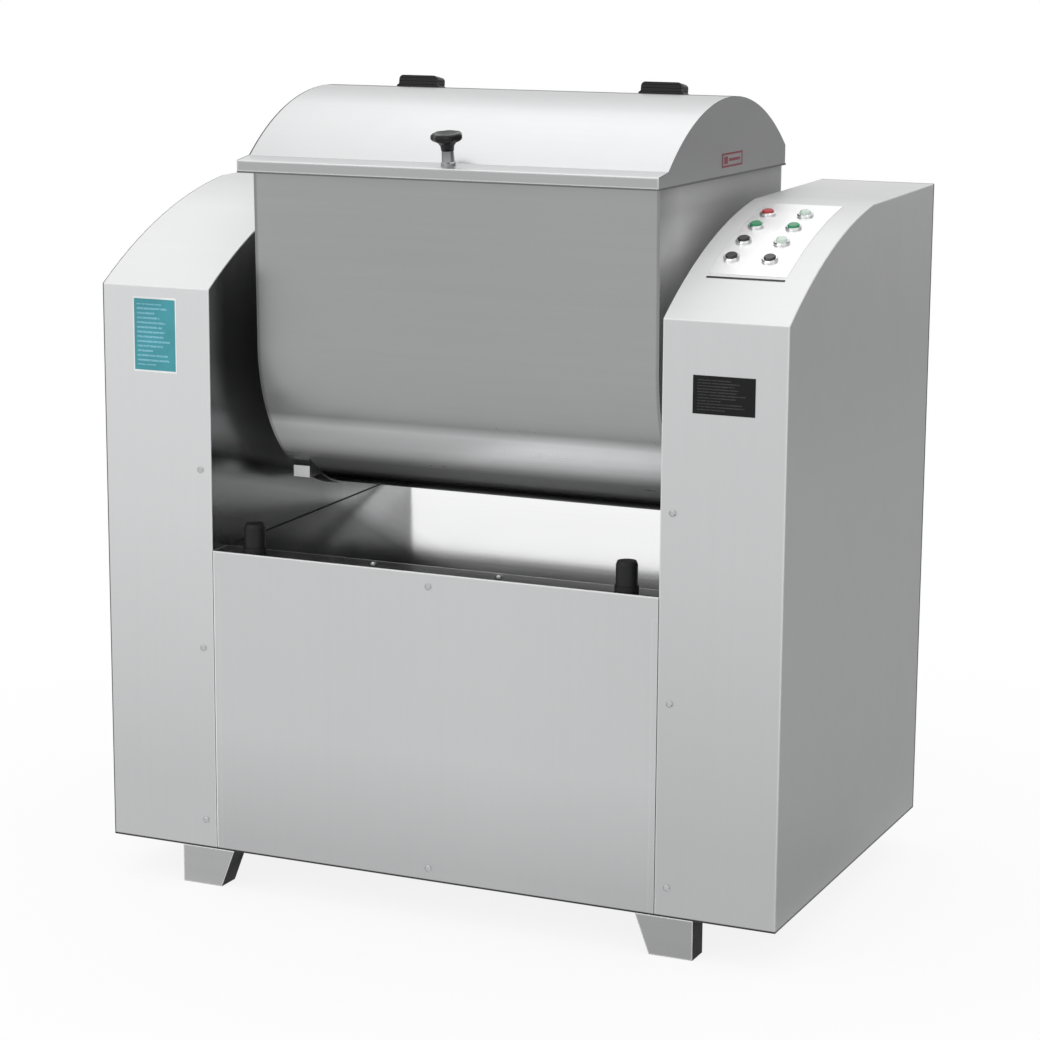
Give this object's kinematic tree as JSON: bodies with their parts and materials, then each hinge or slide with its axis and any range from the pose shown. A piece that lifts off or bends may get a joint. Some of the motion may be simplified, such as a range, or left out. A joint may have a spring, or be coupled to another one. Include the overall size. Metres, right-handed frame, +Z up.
{
  "type": "dough mixer",
  "caption": "floor standing dough mixer with a lidded trough that tilts forward between two sheet steel columns, a twisted two-bar mixing blade and push button controls",
  "frame": {"origin": "middle of the floor print, on the floor", "axes": "X to the machine's right as the operator sees it, Y from the operator to the back, Z up"},
  "size_m": [1.3, 0.807, 1.4614],
  "materials": {
    "satin_sheet": "satin stainless steel sheet with a fine grain",
    "polished_steel": "polished stainless steel",
    "turned_steel": "turned and ground steel",
    "cast_housing": "painted casting",
    "frame_paint": "grey primer on welded channel steel",
    "motor_paint": "blue-grey machine enamel",
    "cabinet_paint": "light grey powder coat",
    "black_rubber": "matte black rubber",
    "black_plastic": "moulded black plastic",
    "green_plastic": "green moulded plastic",
    "red_plastic": "red moulded plastic",
    "lamp_lens": "pale lamp lens",
    "panel_sheet": "satin control plate",
    "seal_plastic": "white sealing plastic"
  },
  "bodies": {
    "machine": {"base_frame": "frame_paint", "base_rear_cover": "satin_sheet", "bearing_bolts": "turned_steel", "bumpers": "black_rubber", "button_bezels": "polished_steel", "cable_grommet": "black_rubber", "control_panel": "panel_sheet", "cover_screws": "polished_steel", "deck": "satin_sheet", "drive_belts": "black_rubber", "electrical_box": "cabinet_paint", "electrical_door": "cabinet_paint", "front_left_foot": "satin_sheet", "front_panel": "satin_sheet", "front_right_foot": "satin_sheet", "gear_reducer": "cast_housing", "left_bearing_stand": "frame_paint", "left_column_casing": "satin_sheet", "left_inner_wall": "satin_sheet", "left_rear_cover": "satin_sheet", "left_trunnion_bearing": "cast_housing", "main_motor": "motor_paint", "motor_base": "frame_paint", "pilot_lamps": "lamp_lens", "rear_left_foot": "satin_sheet", "rear_right_foot": "satin_sheet", "right_bearing_stand": "frame_paint", "right_column_casing": "satin_sheet", "right_inner_wall": "satin_sheet", "right_rear_cover": "satin_sheet", "right_trunnion_bearing": "cast_housing", "tilt_gearmotor": "motor_paint"},
    "trough": {"trough_shell": "satin_sheet", "trough_rim": "satin_sheet", "left_trough_end": "satin_sheet", "right_trough_end": "satin_sheet", "left_trunnion": "turned_steel", "right_trunnion": "turned_steel", "trunnion_bolts": "turned_steel", "shaft_seals": "seal_plastic", "tilt_gear": "turned_steel", "hinge_brackets": "satin_sheet", "stop_lug": "satin_sheet"},
    "lid": {"lid_shell": "satin_sheet", "hinge_arms": "satin_sheet", "lid_knob": "black_plastic", "knob_stem": "polished_steel", "rest_pads": "black_rubber"},
    "mixer": {"drive_shaft": "turned_steel", "idle_shaft": "turned_steel", "mixing_blade": "polished_steel"},
    "reducer_input": {"reducer_pulley": "cast_housing"},
    "motor_rotor": {"motor_pulley": "cast_housing"},
    "pinion": {"tilt_pinion": "turned_steel"},
    "trough_down_button_body": {"trough_down_button": "black_plastic"},
    "trough_up_button_body": {"trough_up_button": "black_plastic"},
    "mix_start_button_body": {"mix_start_button": "green_plastic"},
    "mix_stop_button_body": {"mix_stop_button": "red_plastic"},
    "mix_reverse_button_body": {"mix_reverse_button": "black_plastic"},
    "jog_button_body": {"jog_button": "green_plastic"}
  },
  "joints": [
    {"name": "trough_tilt", "type": "hinge", "parent": "machine", "child": "trough", "pos_m": [0, -0.007, 1], "axis": [1, 0, 0], "range_deg": [0, 85]},
    {"name": "lid_open", "type": "hinge", "parent": "trough", "child": "lid", "pos_m": [0, 0.31368, 1.318], "axis": [-1, 0, 0], "range_deg": [0, 100]},
    {"name": "mixer_spin", "type": "hinge", "parent": "machine", "child": "mixer", "pos_m": [0, -0.007, 1], "axis": [1, 0, 0], "continuous": true},
    {"name": "reducer_pulley_spin", "type": "hinge", "parent": "machine", "child": "reducer_input", "pos_m": [-0.6, -0.007, 0.82], "axis": [1, 0, 0], "continuous": true},
    {"name": "motor_spin", "type": "hinge", "parent": "machine", "child": "motor_rotor", "pos_m": [-0.6, 0, 0.273], "axis": [1, 0, 0], "continuous": true},
    {"name": "tilt_pinion_spin", "type": "hinge", "parent": "machine", "child": "pinion", "pos_m": [0.53, -0.007, 0.778], "axis": [1, 0, 0], "range_deg": [-365, 0]},
    {"name": "trough_down_button_press", "type": "slide", "parent": "machine", "child": "trough_down_button_body", "axis": [0, 0.3971, -0.9178], "range_m": [0, 0.003], "stiffness_N_per_m": 800},
    {"name": "trough_up_button_press", "type": "slide", "parent": "machine", "child": "trough_up_button_body", "axis": [0, 0.342, -0.9397], "range_m": [0, 0.003], "stiffness_N_per_m": 800},
    {"name": "mix_start_button_press", "type": "slide", "parent": "machine", "child": "mix_start_button_body", "axis": [0, 0.2857, -0.9583], "range_m": [0, 0.003], "stiffness_N_per_m": 800},
    {"name": "mix_stop_button_press", "type": "slide", "parent": "machine", "child": "mix_stop_button_body", "axis": [0, 0.2284, -0.9736], "range_m": [0, 0.003], "stiffness_N_per_m": 800},
    {"name": "mix_reverse_button_press", "type": "slide", "parent": "machine", "child": "mix_reverse_button_body", "axis": [0, 0.3971, -0.9178], "range_m": [0, 0.003], "stiffness_N_per_m": 800},
    {"name": "jog_button_press", "type": "slide", "parent": "machine", "child": "jog_button_body", "axis": [0, 0.2857, -0.9583], "range_m": [0, 0.003], "stiffness_N_per_m": 800}
  ],
  "couplings": [
    {"joint": "reducer_pulley_spin", "follows": "mixer_spin", "ratio": 12.5},
    {"joint": "motor_spin", "follows": "mixer_spin", "ratio": 30},
    {"joint": "tilt_pinion_spin", "follows": "trough_tilt", "ratio": -4.2857}
  ]
}
